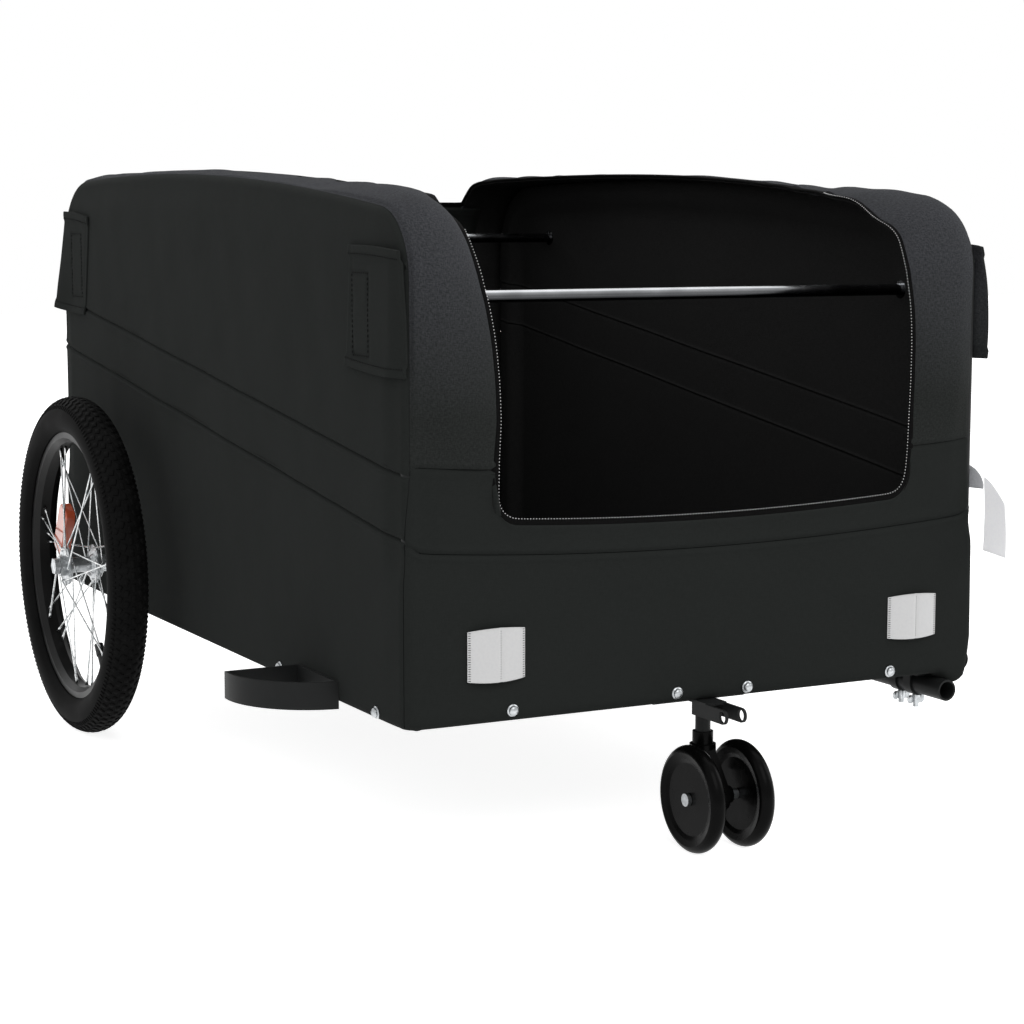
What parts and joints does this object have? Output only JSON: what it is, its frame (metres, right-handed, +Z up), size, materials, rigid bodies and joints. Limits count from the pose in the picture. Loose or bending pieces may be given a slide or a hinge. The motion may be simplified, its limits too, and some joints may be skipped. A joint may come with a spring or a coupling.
{
  "type": "bicycle cargo trailer",
  "caption": "Cargo trailer for a bicycle: open fabric tub on a tube frame, spoked wheels at the rear and a swivel caster in front.",
  "frame": {"origin": "on the ground, under the middle of the whole object", "axes": "+Z up, -Y towards the towed front end, +X towards the left-hand side"},
  "size_m": [0.831, 1.1048, 0.6614],
  "materials": {
    "frame_black": "satin black powder coat",
    "bar_black": "gloss black enamel",
    "floor_board": "matt black sheet",
    "cover_cloth": "black coated woven polyester",
    "band_cloth": "dark grey woven polyester",
    "reflective": "silver reflective sheet",
    "tag": "blank white label",
    "zinc": "zinc plated",
    "black_plastic": "gloss black moulded",
    "tyre": "black rubber",
    "rim_black": "satin black",
    "spoke_steel": "bright steel",
    "valve_rubber": "black rubber",
    "amber": "amber moulded"
  },
  "bodies": {
    "trailer": {"left_rail": "frame_black", "right_rail": "frame_black", "front_rail": "frame_black", "rear_rail": "frame_black", "middle_beam": "frame_black", "axle_beam": "frame_black", "left_hoop": "frame_black", "right_hoop": "frame_black", "front_crossbar": "bar_black", "rear_crossbar": "bar_black", "crossbar_straps": "frame_black", "floor_panel": "floor_board", "left_side_panel": "cover_cloth", "right_side_panel": "cover_cloth", "front_panel": "cover_cloth", "rear_panel": "cover_cloth", "left_top_band": "band_cloth", "right_top_band": "band_cloth", "corner_flaps": "cover_cloth", "front_patches": "reflective", "rear_patches": "reflective", "hang_tag": "tag", "tow_tube": "frame_black", "tow_plate": "frame_black", "tow_clips": "frame_black", "tow_bolts": "zinc", "caster_bracket": "frame_black", "caster_stem": "frame_black", "left_axle_bracket": "frame_black", "left_axle": "zinc", "left_wheel_guard": "frame_black", "right_axle_bracket": "frame_black", "right_axle": "zinc", "right_wheel_guard": "frame_black"},
    "left_wheel": {"left_tyre": "tyre", "left_rim": "rim_black", "left_hub": "zinc", "left_spokes": "spoke_steel", "left_valve": "valve_rubber", "left_spoke_reflector": "amber"},
    "right_wheel": {"right_tyre": "tyre", "right_rim": "rim_black", "right_hub": "zinc", "right_spokes": "spoke_steel", "right_valve": "valve_rubber", "right_spoke_reflector": "amber"},
    "caster_fork": {"caster_fork": "black_plastic", "caster_axle": "zinc"},
    "caster_wheels": {"caster_wheels": "black_plastic"}
  },
  "joints": [
    {"name": "left_wheel_spin", "type": "hinge", "parent": "trailer", "child": "left_wheel", "pos_m": [0.383, 0.3021, 0.1995], "axis": [1, 0, 0], "continuous": true},
    {"name": "right_wheel_spin", "type": "hinge", "parent": "trailer", "child": "right_wheel", "pos_m": [-0.383, 0.3021, 0.1995], "axis": [1, 0, 0], "continuous": true},
    {"name": "caster_swivel", "type": "hinge", "parent": "trailer", "child": "caster_fork", "pos_m": [0, -0.4734, 0.112], "axis": [0, 0, 1], "continuous": true},
    {"name": "caster_wheel_spin", "type": "hinge", "parent": "caster_fork", "child": "caster_wheels", "pos_m": [0, -0.4999, 0.0525], "axis": [1, 0, 0], "continuous": true}
  ]
}
